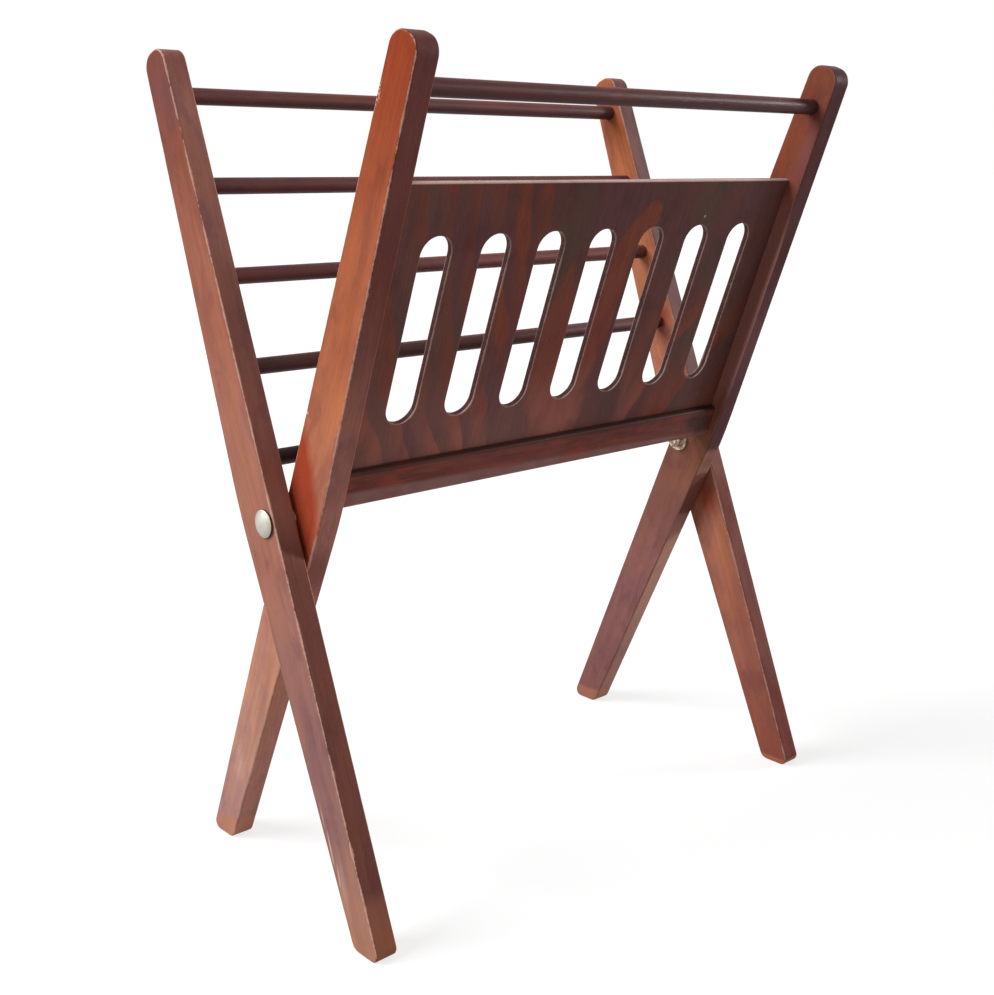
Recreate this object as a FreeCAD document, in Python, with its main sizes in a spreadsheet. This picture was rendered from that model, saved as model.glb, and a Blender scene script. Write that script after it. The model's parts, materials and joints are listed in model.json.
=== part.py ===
import FreeCAD, Part
import math
import os
import re
import Sketcher

# Folding magazine rack: two wooden frames crossed like scissors on two bolts.
# X runs along the rack, the slotted panel faces -Y, Z is up and the feet stand on Z = 0.
# The back frame leans back at the top and the front frame leans forward by the same angle.
# The four legs have one outline. Along a leg, "rise" is counted from the bolt of a back leg
# towards the top, and "across" from the leg's straight edge, the one inside the V, towards its
# bent edge. A front leg is a back leg turned over, with its bolt nearer to the straight edge.
# The panel and the rail lie along the front edge of the front legs, which is the upper part of
# their bent edge. There "along" is counted up that edge, from the level where rise is nought.

SIZES = (
    ("overall_width", 400, "outer face to outer face of the back legs"),
    ("lean_angle", 21.5, "lean of each frame from the upright, in degrees"),
    ("pivot_height", 235.5, "bolt axis above the floor"),
    ("leg_thickness", 15, "leg size along X"),
    ("leg_gap", 2.5, "room between a back leg and the front leg beside it"),
    ("leg_rise", 283.8, "bolt of a back leg to the top of the leg"),
    ("leg_mid_width", 34, "leg width at its bend"),
    ("leg_end_width", 22, "leg width at the top and at the foot"),
    ("crease_rise", 14.4, "bend of the outer edge above the bolt of a back leg"),
    ("crease_blend", 20, "rounding of the bend, each way along the edge"),
    ("top_round", 9.5, "corner radius at the top of a leg"),
    ("heel_round", 7, "foot corner on the bent edge"),
    ("toe_round", 5, "foot corner on the straight edge"),
    ("leg_edge_round", 1.2, "eased arrises of a leg"),
    ("back_pivot_inset", 9, "bolt axis from the straight edge of a back leg"),
    ("front_pivot_inset", 7.5, "bolt axis from the straight edge of a front leg"),
    ("rung_diameter", 10, "dowel rungs"),
    ("rung_count", 5, "rungs in the back frame"),
    ("rung_insert", 8.5, "dowel length inside a leg"),
    ("rung_clearance", 0.05, "dowel to hole, all round"),
    ("rung_relief", 0.5, "hole deeper than the dowel"),
    ("top_rung_drop", 26.5, "leg top down to the top rungs"),
    ("lowest_rung_rise", 37.4, "bolt up to the lowest back rung"),
    ("panel_thickness", 4, "plywood panel"),
    ("panel_setback", 10, "panel face behind the front edge of the front legs"),
    ("panel_top_drop", 75, "leg top down to the panel, along the front edge"),
    ("panel_insert", 5, "panel edge inside a leg groove"),
    ("panel_edge_round", 0.6, "eased top edge of the panel"),
    ("groove_clearance", 0.1, "panel to its grooves"),
    ("slot_count", 7, "slots in the panel"),
    ("slot_width", 22, "slot across, with full round ends"),
    ("slot_end_margin", 24.5, "leg face to the first slot"),
    ("slot_top_margin", 30, "panel top to the slots"),
    ("slot_low_margin", 26, "rail top to the slots"),
    ("slot_edge_round", 0.5, "eased edges of the slots"),
    ("rail_top_along", 38.6, "top of the rail along the front edge"),
    ("rail_height", 24.8, "rail along the panel"),
    ("rail_depth", 15, "rail front to back"),
    ("rail_setback", 5.5, "rail face behind the front edge of the front legs"),
    ("rail_low_round", 6, "lower front edge of the rail"),
    ("rail_edge_round", 2.5, "other long edges of the rail"),
    ("rail_groove_depth", 6, "groove for the panel in the rail top"),
    ("tenon_length", 8, "rail tenon inside a leg"),
    ("tenon_height", 9, "rail tenon along the panel"),
    ("tenon_depth", 8, "rail tenon front to back"),
    ("tenon_rise", 3.5, "tenon above the bottom of the rail"),
    ("tenon_clearance", 0.1, "tenon to mortise"),
    ("bolt_diameter", 6, "bolt shank"),
    ("bolt_clearance", 0.05, "shank to the bores it turns in, all round"),
    ("bolt_head_diameter", 16.5, "domed head"),
    ("bolt_head_height", 3.5, "domed head, with its rim"),
    ("bolt_rim_height", 1.4, "straight rim of the head"),
    ("bolt_tail", 1, "shank past the nut"),
    ("neck_width", 6.4, "square neck under the head"),
    ("neck_length", 4, "square neck under the head"),
    ("neck_clearance", 0.1, "square neck to its recess"),
    ("side_play", 0.05, "room for the front leg to turn between its washers"),
    ("spacer_diameter", 12, "washer between the legs"),
    ("washer_diameter", 16, "washer under the nut"),
    ("washer_thickness", 1.5, "washer under the nut"),
    ("washer_clearance", 0.2, "washer to shank, all round"),
    ("nut_width", 10, "nut across its flats"),
    ("nut_height", 5, "nut along the bolt"),
    ("nut_chamfer", 0.6, "eased corners of the nut"),
    ("thread_clearance", 0.05, "nut to shank, all round"),
)

ALIASES = {alias for alias, value, note in SIZES}
POINT_TOLERANCE = 0.01

# Angles and places worked out from the sizes
LEAN = "(lean_angle * 1deg)"
TAPER = "atan((leg_mid_width - leg_end_width) / (leg_rise - crease_rise))"
PIVOT_Y = f"(back_pivot_inset - front_pivot_inset) / 2 / cos({LEAN})"
FRONT_BOLT_DROP = f"((back_pivot_inset - front_pivot_inset) * tan({LEAN}))"
TOE_RISE = f"(-pivot_height / cos({LEAN}) - tan({LEAN}) * back_pivot_inset)"
HEEL_RISE = f"({TOE_RISE} + tan({LEAN}) * leg_end_width)"
LOW_TAPER = f"atan((leg_mid_width - leg_end_width) / (crease_rise - {HEEL_RISE}))"
BACK_INNER_X = "(overall_width / 2 - leg_thickness)"
FRONT_INNER_X = "(overall_width / 2 - 2 * leg_thickness - leg_gap)"
RUNG_TOP_RISE = "(leg_rise - top_rung_drop)"
RUNG_PITCH = f"(({RUNG_TOP_RISE} - lowest_rung_rise) / (rung_count - 1))"
FRONT_EDGE = f"(leg_mid_width + crease_rise * tan({TAPER}))"
RAIL_LOW = "(rail_top_along - rail_height)"
GROOVE_LOW = "(rail_top_along - rail_groove_depth)"
PANEL_LOW = f"({GROOVE_LOW} + groove_clearance)"
PANEL_TOP = f"(leg_rise / cos({TAPER}) - panel_top_drop)"
SLOT_TOP = f"({PANEL_TOP} - slot_top_margin)"
SLOT_LOW = "(rail_top_along + slot_low_margin)"
SLOT_SPAN = f"(2 * {FRONT_INNER_X} - 2 * slot_end_margin - slot_width)"
TENON_LOW = f"({RAIL_LOW} + tenon_rise)"
TENON_FRONT = "(rail_setback + (rail_depth - tenon_depth) / 2)"
TOP_ROUND = "min(top_round; 0.45 * leg_end_width)"
NUT_SEAT = "(2 * leg_thickness + leg_gap + side_play)"
BOLT_LENGTH = f"({NUT_SEAT} + washer_thickness + nut_height + bolt_tail)"

LEFT, RIGHT = -1, 1
SIDE_NAMES = {LEFT: "left", RIGHT: "right"}

document = FreeCAD.newDocument("folding_magazine_rack")
sheet = document.addObject("Spreadsheet::Sheet", "Sizes")
for row, (alias, value, note) in enumerate(SIZES, start=1):
    sheet.set(f"A{row}", note)
    sheet.set(f"B{row}", str(value))
    sheet.setAlias(f"B{row}", alias)
document.recompute()

nodes = []


class Frame:
    """One of the two crossed frames: its turn about the bolts, the side its legs lean to, where
    the bolt passes through its legs and how far out its legs stand."""

    def __init__(self, turn, back, inset, bolt_drop, inner_x):
        self.turn = turn
        self.back = back
        self.inset = inset
        self.bolt_drop = bolt_drop
        self.inner_x = inner_x

    def local(self, rise, across):
        """Sketch place, from the bolt, of a point on the leg."""
        return f"{self.back} * ({across} - {self.inset})", f"({rise} + {self.bolt_drop})"

    def world(self, rise, across):
        """Place in the rack of a point on the leg."""
        off = f"({across} - {self.inset})"
        up = f"({rise} + {self.bolt_drop})"
        y = f"{PIVOT_Y} + {self.back} * (sin({LEAN}) * {up} + cos({LEAN}) * {off})"
        z = f"pivot_height + cos({LEAN}) * {up} - sin({LEAN}) * {off}"
        return y, z


BACK = Frame(f"-{LEAN}", 1, "back_pivot_inset", "0", BACK_INNER_X)
FRONT = Frame(LEAN, -1, "front_pivot_inset", FRONT_BOLT_DROP, FRONT_INNER_X)


def bound(text):
    """An expression over the sheet, from one that names the sizes alone."""
    return re.sub(r"[a-z_]+", lambda word: f"Sizes.{word[0]}" if word[0] in ALIASES else word[0], text)


def number(text):
    """The present value of an expression."""
    value = sheet.evalExpression(bound(text))
    return float(getattr(value, "Value", value))


def new_body(label, x, y, z, turn):
    """A sub-part at a place in the rack, turned about X."""
    body = document.addObject("PartDesign::Body", label)
    body.Label = label
    for axis, place in (("x", x), ("y", y), ("z", z)):
        body.setExpression(f"Placement.Base.{axis}", bound(place))
    for axis, share in (("x", "1"), ("y", "0"), ("z", "0")):
        body.setExpression(f"Placement.Rotation.Axis.{axis}", share)
    body.setExpression("Placement.Rotation.Angle", bound(turn))
    nodes.append(body)
    return body


def new_sketch(body, name, role, offset=None):
    """A sketch on one of the body's own origin planes, moved along the plane's normal."""
    sketch = body.newObject("Sketcher::SketchObject", f"{body.Name}_{name}")
    plane = next(item for item in body.Origin.OriginFeatures if item.Role == role)
    sketch.AttachmentSupport = [(plane, "")]
    sketch.MapMode = "FlatFace"
    if offset:
        sketch.setExpression("AttachmentOffset.Base.z", bound(offset))
    return sketch


def drive(sketch, constraint, expression):
    """Adds a constraint and binds its value to the sizes."""
    index = sketch.addConstraint(constraint)
    sketch.renameConstraint(index, f"size_{index}")
    sketch.setExpression(f"Constraints.size_{index}", bound(expression))


def pin(sketch, geometry, point, x, y):
    """Holds a point of a sketch at a place; a place on an axis stays on it."""
    for kind, axis, place in (("DistanceX", -2, x), ("DistanceY", -1, y)):
        value = number(place)
        if place == "0":
            sketch.addConstraint(Sketcher.Constraint("PointOnObject", geometry, point, axis))
        elif value < 0:
            rule = Sketcher.Constraint(kind, geometry, point, -1, 1, -value)
            drive(sketch, rule, f"-({place})")
        else:
            rule = Sketcher.Constraint(kind, -1, 1, geometry, point, value)
            drive(sketch, rule, place)


def vector(place):
    """The present place of a sketch point."""
    return FreeCAD.Vector(number(place[0]), number(place[1]), 0)


def nearer_end(sketch, arc, point):
    """Which end of an arc lies at a point."""
    return min((1, 2), key=lambda end: sketch.getPoint(arc, end).distanceToPoint(point))


def draw_polygon(sketch, corners, bow=None, bow_point=None):
    """A closed outline through pinned corners. The side numbered bow is an arc, tangent to its
    neighbours, whose tangents meet at bow_point."""
    points = [vector(place) for place in corners]
    first = sketch.GeometryCount
    count = len(points)
    ends = []
    for index, point in enumerate(points):
        following = points[(index + 1) % count]
        if index == bow:
            middle = ((point + following) / 2 + vector(bow_point)) / 2
            arc = sketch.addGeometry(Part.Arc(point, middle, following), False)
            start = nearer_end(sketch, arc, point)
            ends.append((start, 3 - start))
        else:
            sketch.addGeometry(Part.LineSegment(point, following), False)
            ends.append((1, 2))
    for index in range(count):
        following = (index + 1) % count
        kind = "Tangent" if following == bow else "Coincident"
        joint = (first + index, ends[index][1], first + following, ends[following][0])
        sketch.addConstraint(Sketcher.Constraint(kind, *joint))
    for index, (x, y) in enumerate(corners):
        pin(sketch, first + index, ends[index][0], x, y)


def draw_rectangle(sketch, x_low, x_high, y_low, y_high):
    """A rectangle between two places each way."""
    draw_polygon(sketch, ((x_low, y_low), (x_high, y_low), (x_high, y_high), (x_low, y_high)))


def draw_circle(sketch, x, y, diameter):
    """A circle pinned at its centre."""
    centre = FreeCAD.Vector(number(x), number(y), 0)
    normal = FreeCAD.Vector(0, 0, 1)
    index = sketch.addGeometry(Part.Circle(centre, normal, number(diameter) / 2), False)
    pin(sketch, index, 3, x, y)
    drive(sketch, Sketcher.Constraint("Diameter", index, number(diameter)), diameter)


def pad(body, sketch, length, reverse=False, symmetric=False):
    """Grows a sketch into the body."""
    feature = body.newObject("PartDesign::Pad", f"{sketch.Name}_pad")
    feature.Profile = sketch
    feature.SideType = "Symmetric" if symmetric else "One side"
    feature.setExpression("Length", bound(length))
    feature.Reversed = reverse
    return finish_feature(body, feature)


def pocket(body, sketch, depth=None, reverse=False, symmetric=False):
    """Cuts a sketch out of the body, right through when no depth is given."""
    before = body.Shape.Volume
    feature = body.newObject("PartDesign::Pocket", f"{sketch.Name}_pocket")
    feature.Profile = sketch
    feature.SideType = "Symmetric" if symmetric else "One side"
    if depth:
        feature.setExpression("Length", bound(depth))
    else:
        feature.Type = "ThroughAll"
    feature.Reversed = reverse
    finish_feature(body, feature)
    if body.Shape.Volume >= before:
        raise RuntimeError(f"{feature.Name} cuts nothing")
    return feature


def finish_feature(body, feature):
    """Makes a feature the end of its body and computes it."""
    body.Tip = feature
    document.recompute()
    return feature


def round_edges(body, base, names, radius):
    """Rounds named edges of the last feature."""
    feature = body.newObject("PartDesign::Fillet", f"{base.Name}_round")
    feature.Base = (base, names)
    feature.setExpression("Radius", bound(radius))
    return finish_feature(body, feature)


def edges_along_x(shape, y, z):
    """Names of the edges that run along X at a place."""
    found = []
    for index, edge in enumerate(shape.Edges, start=1):
        points = [vertex.Point for vertex in edge.Vertexes]
        close = all(abs(point.y - y) + abs(point.z - z) < POINT_TOLERANCE for point in points)
        if close and len(points) == 2:
            found.append(f"Edge{index}")
    return found


def edges_of_ends(shape):
    """Names of the edges round the flat faces that look along X."""
    found = set()
    for face in shape.Faces:
        normal = face.normalAt(0, 0)
        if abs(abs(normal.x) - 1) < POINT_TOLERANCE:
            for edge in face.Edges:
                matches = (i for i, other in enumerate(shape.Edges, start=1) if other.isSame(edge))
                found.add(next(matches))
    return [f"Edge{index}" for index in sorted(found)]


def draw_leg_outline(frame, sketch):
    """The side view of a leg, and its sharp corners with the radius that each one gets."""
    toe = frame.local(TOE_RISE, "0")
    heel = frame.local(HEEL_RISE, "leg_end_width")
    bend = frame.local("crease_rise", "leg_mid_width")
    bend_low = frame.local(f"crease_rise - crease_blend * cos({LOW_TAPER})",
                           f"leg_mid_width - crease_blend * sin({LOW_TAPER})")
    bend_high = frame.local(f"crease_rise + crease_blend * cos({TAPER})",
                            f"leg_mid_width - crease_blend * sin({TAPER})")
    top_outside = frame.local("leg_rise", "leg_end_width")
    top_inside = frame.local("leg_rise", "0")
    outline = (toe, heel, bend_low, bend_high, top_outside, top_inside)
    draw_polygon(sketch, outline, bow=outline.index(bend_low), bow_point=bend)
    return ((toe, "toe_round"), (heel, "heel_round"), (top_outside, TOP_ROUND), (top_inside, TOP_ROUND))


def rung_place(rise):
    """A rung sits half way across the tapering leg."""
    share = f"({rise} - crease_rise) / (leg_rise - crease_rise)"
    return rise, f"(leg_mid_width - (leg_mid_width - leg_end_width) * {share}) / 2"


def back_rung_rise(index):
    """Rise of a back rung, counted from the top one."""
    return f"({RUNG_TOP_RISE} - {index} * {RUNG_PITCH})"


def make_leg(frame, label, side, rungs):
    """A leg with its rounded outline, rung holes and bolt bore. Its inner face is at the body's X = 0."""
    body = new_body(label, f"{side} * {frame.inner_x}", PIVOT_Y, "pivot_height", frame.turn)
    outline = new_sketch(body, "outline", "YZ_Plane")
    corners = draw_leg_outline(frame, outline)
    last = pad(body, outline, "leg_thickness", reverse=side == LEFT)
    for (y, z), radius in corners:
        last = round_edges(body, last, edges_along_x(last.Shape, number(y), number(z)), radius)
    round_edges(body, last, edges_of_ends(last.Shape), "leg_edge_round")

    holes = new_sketch(body, "rung_holes", "YZ_Plane")
    for rise in rungs:
        y, z = frame.local(*rung_place(rise))
        draw_circle(holes, y, z, "rung_diameter + 2 * rung_clearance")
    pocket(body, holes, "rung_insert + rung_relief", reverse=side == RIGHT)

    bore = new_sketch(body, "bolt_bore", "YZ_Plane")
    draw_circle(bore, "0", "0", "bolt_diameter + 2 * bolt_clearance")
    pocket(body, bore, reverse=side == RIGHT)
    return body


def cut_neck_recess(body, side):
    """The square recess in a back leg that keeps the bolt from turning."""
    half = "(neck_width / 2 + neck_clearance)"
    recess = new_sketch(body, "neck_recess", "YZ_Plane", f"{side} * leg_thickness")
    draw_rectangle(recess, f"-{half}", half, f"-{half}", half)
    pocket(body, recess, "neck_length + neck_clearance", reverse=side == LEFT)


def panel_point(along, depth):
    """Sketch place on a front leg of a point along its front edge and behind it."""
    rise = f"({along} * cos({TAPER}) - {depth} * sin({TAPER}))"
    across = f"({FRONT_EDGE} - {along} * sin({TAPER}) - {depth} * cos({TAPER}))"
    return FRONT.local(rise, across)


def cut_panel_seats(body, side):
    """The panel groove and the rail mortise in the inner face of a front leg."""
    front = "(panel_setback - groove_clearance)"
    back = "(panel_setback + panel_thickness + groove_clearance)"
    high = f"({PANEL_TOP} + groove_clearance)"
    places = ((GROOVE_LOW, front), (high, front), (high, back), (GROOVE_LOW, back))
    corners = [panel_point(*place) for place in places]
    groove = new_sketch(body, "panel_groove", "YZ_Plane")
    draw_polygon(groove, corners)
    pocket(body, groove, "panel_insert + groove_clearance", reverse=side == RIGHT)

    front = f"({TENON_FRONT} - tenon_clearance)"
    back = f"({TENON_FRONT} + tenon_depth + tenon_clearance)"
    low = f"({TENON_LOW} - tenon_clearance)"
    high = f"({TENON_LOW} + tenon_height + tenon_clearance)"
    places = ((low, front), (high, front), (high, back), (low, back))
    corners = [panel_point(*place) for place in places]
    mortise = new_sketch(body, "rail_mortise", "YZ_Plane")
    draw_polygon(mortise, corners)
    pocket(body, mortise, "tenon_length + tenon_clearance", reverse=side == RIGHT)


def make_rung(frame, label, rise):
    """A dowel between the two legs of a frame, with its ends in their holes."""
    y, z = frame.world(*rung_place(rise))
    body = new_body(label, "0", y, z, frame.turn)
    section = new_sketch(body, "section", "YZ_Plane")
    draw_circle(section, "0", "0", "rung_diameter")
    pad(body, section, f"2 * ({frame.inner_x} + rung_insert)", symmetric=True)


def new_panel_body(label):
    """A body on the front edge of the front legs: Z along that edge, Y behind it."""
    y, z = FRONT.world("0", FRONT_EDGE)
    return new_body(label, "0", y, z, f"{LEAN} - {TAPER}")


def make_panel():
    """The plywood front with a row of upright slots."""
    body = new_panel_body("slotted_panel")
    half = f"({FRONT_INNER_X} + panel_insert)"
    back = "(panel_setback + panel_thickness)"
    outline = new_sketch(body, "outline", "XZ_Plane", f"-{back}")
    draw_rectangle(outline, f"-{half}", half, PANEL_LOW, PANEL_TOP)
    board = pad(body, outline, "panel_thickness")
    top_edges = []
    for face_y in ("panel_setback", back):
        top_edges += edges_along_x(board.Shape, number(face_y), number(PANEL_TOP))
    round_edges(body, board, top_edges, "panel_edge_round")

    slot = new_sketch(body, "slot", "XZ_Plane", "-panel_setback")
    draw_slot(slot, f"-{SLOT_SPAN} / 2", SLOT_LOW, SLOT_TOP, "slot_width")
    cut = pocket(body, slot)
    before = body.Shape.Volume
    row = body.newObject("PartDesign::LinearPattern", "slot_row")
    row.Originals = [cut]
    row.Direction = (slot, ["H_Axis"])
    row.setExpression("Length", bound(SLOT_SPAN))
    row.setExpression("Occurrences", bound("slot_count"))
    finish_feature(body, row)
    if body.Shape.Volume >= before:
        raise RuntimeError("the row of slots cuts nothing")
    round_edges(body, row, slot_edges(row.Shape, ("panel_setback", back)), "slot_edge_round")


def slot_edges(shape, face_places):
    """Names of the edges round the slots, in the two faces of the panel."""
    faces = [number(place) for place in face_places]
    low = number(SLOT_LOW) - POINT_TOLERANCE
    high = number(SLOT_TOP) + POINT_TOLERANCE
    found = []
    for index, edge in enumerate(shape.Edges, start=1):
        box = edge.BoundBox
        on_face = any(abs(box.YMin - y) + abs(box.YMax - y) < POINT_TOLERANCE for y in faces)
        if on_face and low < box.ZMin and box.ZMax < high:
            found.append(f"Edge{index}")
    return found


def draw_slot(sketch, x, low, high, width):
    """An upright slot with round ends."""
    radius = number(width) / 2
    centre_x = number(x)
    normal = FreeCAD.Vector(0, 0, 1)
    top = FreeCAD.Vector(centre_x, number(high) - radius, 0)
    foot = FreeCAD.Vector(centre_x, number(low) + radius, 0)
    side = FreeCAD.Vector(radius, 0, 0)
    upper_arc = Part.ArcOfCircle(Part.Circle(top, normal, radius), 0, math.pi)
    lower_arc = Part.ArcOfCircle(Part.Circle(foot, normal, radius), math.pi, 2 * math.pi)
    upper = sketch.addGeometry(upper_arc, False)
    lower = sketch.addGeometry(lower_arc, False)
    left = sketch.addGeometry(Part.LineSegment(top - side, foot - side), False)
    right = sketch.addGeometry(Part.LineSegment(foot + side, top + side), False)
    for one, one_end, other, other_end in ((upper, 2, left, 1), (left, 2, lower, 1),
                                           (lower, 2, right, 1), (right, 2, upper, 1)):
        sketch.addConstraint(Sketcher.Constraint("Tangent", one, one_end, other, other_end))
    sketch.addConstraint(Sketcher.Constraint("Vertical", left))
    drive(sketch, Sketcher.Constraint("Diameter", upper, 2 * radius), width)
    pin(sketch, upper, 3, x, f"({high} - {width} / 2)")
    drive(sketch, Sketcher.Constraint("DistanceY", -1, 1, lower, 3, foot.y), f"({low} + {width} / 2)")


def make_rail():
    """The bottom rail: rounded bar, stub tenons and the groove that takes the panel."""
    body = new_panel_body("bottom_rail")
    front, back = "rail_setback", "(rail_setback + rail_depth)"
    low, high = RAIL_LOW, "rail_top_along"
    section = new_sketch(body, "section", "YZ_Plane")
    draw_rectangle(section, front, back, low, high)
    last = pad(body, section, f"2 * {FRONT_INNER_X}", symmetric=True)
    for y, z, radius in ((front, low, "rail_low_round"), (front, high, "rail_edge_round"),
                         (back, low, "rail_edge_round"), (back, high, "rail_edge_round")):
        last = round_edges(body, last, edges_along_x(last.Shape, number(y), number(z)), radius)

    tenon = new_sketch(body, "tenon", "YZ_Plane")
    tenon_back = f"({TENON_FRONT} + tenon_depth)"
    draw_rectangle(tenon, TENON_FRONT, tenon_back, TENON_LOW, f"({TENON_LOW} + tenon_height)")
    pad(body, tenon, f"2 * ({FRONT_INNER_X} + tenon_length)", symmetric=True)

    groove = new_sketch(body, "groove", "YZ_Plane")
    draw_rectangle(groove, "(panel_setback - groove_clearance)",
                   "(panel_setback + panel_thickness + groove_clearance)",
                   GROOVE_LOW, f"({high} + rail_groove_depth)")
    pocket(body, groove, f"2 * {FRONT_INNER_X}", symmetric=True)


def new_pivot_body(name, side, inward):
    """A body on the bolt axis, a way in from the outer face of a back leg."""
    x = f"{side} * (overall_width / 2 - {inward})"
    return new_body(f"{name}_{SIDE_NAMES[side]}", x, PIVOT_Y, "pivot_height", BACK.turn)


def make_bolt(side):
    """A round-headed bolt with a square neck, its head on the outer face of the back leg."""
    body = new_pivot_body("pivot_bolt", side, "0")
    tip = f"{-side} * {BOLT_LENGTH}"
    crown = f"{side} * bolt_head_height"
    brow = f"{side} * bolt_rim_height"
    shank = "bolt_diameter / 2"
    rim = "bolt_head_diameter / 2"
    profile = new_sketch(body, "profile", "XY_Plane")
    corners = ((crown, "0"), (tip, "0"), (tip, shank), ("0", shank), ("0", rim), (brow, rim))
    points = [vector(place) for place in corners]
    for start, end in zip(points, points[1:]):
        profile.addGeometry(Part.LineSegment(start, end), False)
    last_line = len(points) - 2
    rise = number("bolt_head_height - bolt_rim_height")
    ball = (number(rim) ** 2 + rise ** 2) / (2 * rise)
    centre = FreeCAD.Vector(points[0].x - side * ball, 0, 0)
    middle = centre + ((points[0] + points[-1]) / 2 - centre).normalize() * ball
    dome = profile.addGeometry(Part.Arc(points[-1], middle, points[0]), False)
    for index in range(last_line):
        profile.addConstraint(Sketcher.Constraint("Coincident", index, 2, index + 1, 1))
    crown_end = nearer_end(profile, dome, points[0])
    rim_end = nearer_end(profile, dome, points[-1])
    profile.addConstraint(Sketcher.Constraint("Coincident", dome, crown_end, 0, 1))
    profile.addConstraint(Sketcher.Constraint("Coincident", dome, rim_end, last_line, 2))
    for index, (x, y) in enumerate(corners[:-1]):
        pin(profile, index, 1, x, y)
    pin(profile, last_line, 2, *corners[-1])
    profile.addConstraint(Sketcher.Constraint("PointOnObject", dome, 3, -1))
    turned = body.newObject("PartDesign::Revolution", f"{body.Name}_turned")
    turned.Profile = profile
    turned.ReferenceAxis = (profile, ["H_Axis"])
    turned.Angle = 360
    finish_feature(body, turned)
    half = "neck_width / 2"
    neck = new_sketch(body, "neck", "YZ_Plane")
    draw_rectangle(neck, f"-{half}", half, f"-{half}", half)
    pad(body, neck, "neck_length", reverse=side == RIGHT)


def make_ring(name, side, inward, diameter, thickness):
    """A washer on the bolt."""
    body = new_pivot_body(name, side, inward)
    section = new_sketch(body, "section", "YZ_Plane")
    draw_circle(section, "0", "0", diameter)
    draw_circle(section, "0", "0", "bolt_diameter + 2 * washer_clearance")
    pad(body, section, thickness, reverse=side == RIGHT)


def make_nut(side, inward):
    """A hexagon nut on the bolt, flat side towards the washer."""
    body = new_pivot_body("pivot_nut", side, inward)
    corner = "nut_width / 2 / cos(30deg)"
    section = new_sketch(body, "section", "YZ_Plane")
    draw_polygon(section, [(f"{corner} * cos({angle}deg)", f"{corner} * sin({angle}deg)")
                           for angle in range(15, 375, 60)])
    draw_circle(section, "0", "0", "bolt_diameter + 2 * thread_clearance")
    block = pad(body, section, "nut_height", reverse=side == RIGHT)
    end_x = -side * number("nut_height")
    rim = []
    for index, edge in enumerate(block.Shape.Edges, start=1):
        straight = len(edge.Vertexes) == 2
        if straight and all(abs(vertex.X - end_x) < POINT_TOLERANCE for vertex in edge.Vertexes):
            rim.append(f"Edge{index}")
    eased = body.newObject("PartDesign::Chamfer", f"{body.Name}_eased")
    eased.Base = (block, rim)
    eased.setExpression("Size", bound("nut_chamfer"))
    finish_feature(body, eased)


def make_pivot(side):
    """Everything on one bolt, from the head on the outer face to the nut inside the front leg."""
    make_bolt(side)
    make_ring("spacer_washer", side, "leg_thickness", "spacer_diameter", "leg_gap - side_play")
    make_ring("nut_washer", side, NUT_SEAT, "washer_diameter", "washer_thickness")
    make_nut(side, f"({NUT_SEAT} + washer_thickness)")


def check_model():
    """Stops on a failed object or a sub-part that is not one sound solid."""
    document.recompute()
    for item in document.Objects:
        if "Invalid" in item.State or "Error" in item.State:
            raise RuntimeError(f"{item.Name} failed: {item.State}")
    for body in nodes:
        shape = body.Shape
        if shape.isNull() or not shape.isValid() or len(shape.Solids) != 1:
            raise RuntimeError(f"{body.Label} is not one sound solid")


def write_parts():
    """One file for each sub-part."""
    os.makedirs("parts", exist_ok=True)
    for body in nodes:
        body.Shape.exportStep(f"parts/{body.Label}.step")
        box = body.Shape.BoundBox
        print(f"{body.Label:20s} {box.XLength:7.2f} x {box.YLength:7.2f} x {box.ZLength:7.2f} mm")


back_rungs = [back_rung_rise(index) for index in range(int(number("rung_count")))]
for leg_side in (LEFT, RIGHT):
    back_leg = make_leg(BACK, f"back_leg_{SIDE_NAMES[leg_side]}", leg_side, back_rungs)
    cut_neck_recess(back_leg, leg_side)
    front_leg = make_leg(FRONT, f"front_leg_{SIDE_NAMES[leg_side]}", leg_side, [RUNG_TOP_RISE])
    cut_panel_seats(front_leg, leg_side)
for order, rung_rise in enumerate(back_rungs, start=1):
    make_rung(BACK, f"back_rung_{order}", rung_rise)
make_rung(FRONT, "front_top_rung", RUNG_TOP_RISE)
make_panel()
make_rail()
for pivot_side in (LEFT, RIGHT):
    make_pivot(pivot_side)
check_model()
write_parts()
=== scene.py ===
"""Finishes, light and camera for a folding magazine rack: stained wood, plywood and plated steel."""
import json
import math

import bpy
from bpy.props import FloatProperty, FloatVectorProperty, PointerProperty
from mathutils import Matrix, Vector


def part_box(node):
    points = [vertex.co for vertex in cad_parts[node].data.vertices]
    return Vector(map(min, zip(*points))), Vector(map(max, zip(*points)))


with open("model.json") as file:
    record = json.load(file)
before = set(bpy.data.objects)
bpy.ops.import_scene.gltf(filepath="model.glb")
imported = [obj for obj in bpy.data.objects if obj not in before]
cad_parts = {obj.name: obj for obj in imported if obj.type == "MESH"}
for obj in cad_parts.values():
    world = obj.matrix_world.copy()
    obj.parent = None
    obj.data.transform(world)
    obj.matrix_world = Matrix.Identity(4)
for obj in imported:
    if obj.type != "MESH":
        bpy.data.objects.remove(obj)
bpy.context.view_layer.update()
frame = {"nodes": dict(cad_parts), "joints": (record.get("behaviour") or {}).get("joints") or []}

bl_info = {
    "name": "Folding magazine rack finishes",
    "version": (1, 0, 0),
    "blender": (4, 5, 0),
    "location": "View3D > Sidebar > Magazine rack",
    "description": "Stained wood, plywood and plated steel for a folding magazine rack, with its stage",
    "category": "Object",
}

NODES = frame["nodes"]

# Places and sizes of the CAD model that the finishes follow, in metres and radians
PIVOT = Vector(frame["joints"][0]["pos_m"])

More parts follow.
